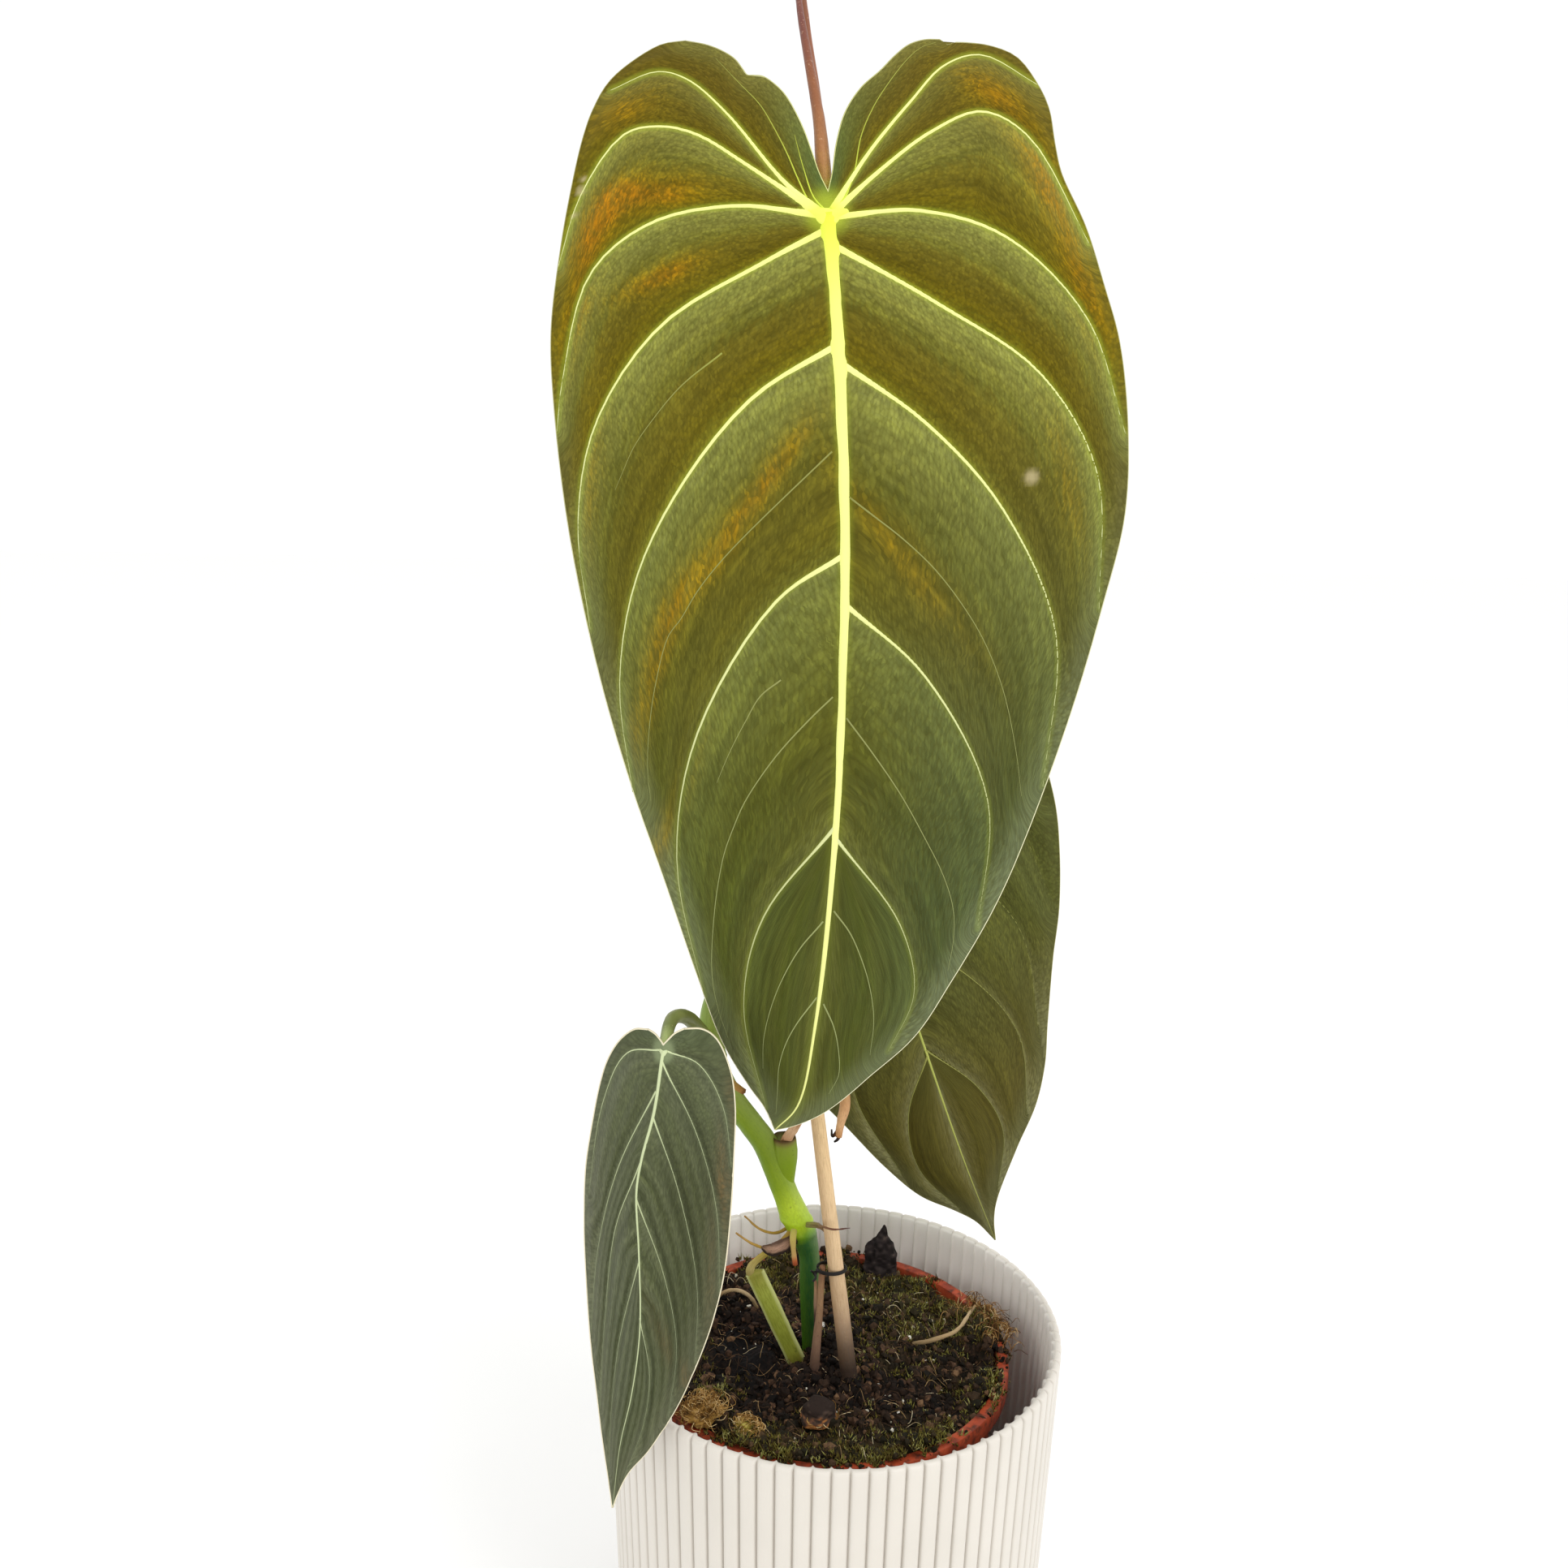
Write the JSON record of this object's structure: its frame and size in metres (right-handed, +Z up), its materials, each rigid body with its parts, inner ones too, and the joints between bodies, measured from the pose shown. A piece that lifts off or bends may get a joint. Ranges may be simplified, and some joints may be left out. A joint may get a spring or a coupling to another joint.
{
  "type": "potted black gold philodendron",
  "caption": "Velvet-leaved climbing houseplant with heart-shaped hanging leaves, staked in a plastic nursery pot inside a fluted white cachepot.",
  "frame": {"origin": "centre of the decorative pot's flat underside", "axes": "+Z up along the pot's axis; the large leaf's upper face looks along -Y; +X to the right seen from the front"},
  "size_m": [0.1464, 0.14, 0.5132],
  "materials": {
    "white_plastic": "satin moulded white polypropylene",
    "terracotta_plastic": "thin moulded terracotta-coloured plastic",
    "potting_soil": "moist dark peat and bark mix",
    "green_stem": "smooth fleshy stem, slightly waxy",
    "withered_stalk": "withered, limp, yellow-green",
    "red_brown_stalk": "rough red-brown stalk",
    "olive_stalk": "olive green stalk",
    "velvet_leaf_large": "velvety olive blade with yellow-green veins",
    "velvet_leaf_back": "matte olive blade",
    "velvet_leaf_front": "grey-green pleated blade",
    "stake_wood": "bare split wood",
    "stick_wood": "weathered reddish wood",
    "tie_wire": "black coated wire",
    "dark_bark": "wet dark bark",
    "brown_bark": "dry brown bark",
    "coir_fibre": "matted ochre coconut fibre",
    "pale_root": "dry pale root"
  },
  "bodies": {
    "root": {"outer_pot": "white_plastic", "nursery_pot": "terracotta_plastic", "soil": "potting_soil", "stem": "green_stem", "dead_stalk": "withered_stalk", "leaf_stalk_large": "red_brown_stalk", "leaf_stalk_back": "olive_stalk", "leaf_stalk_front": "olive_stalk", "leaf_blade_large": "velvet_leaf_large", "leaf_blade_back": "velvet_leaf_back", "leaf_blade_front": "velvet_leaf_front", "stake": "stake_wood", "side_stick": "stick_wood", "stake_tie": "tie_wire", "bark_chip": "dark_bark", "bark_nugget": "brown_bark", "coir_lump_left": "coir_fibre", "coir_lump_right": "coir_fibre", "root_right": "pale_root", "root_left": "pale_root"}
  },
  "joints": []
}
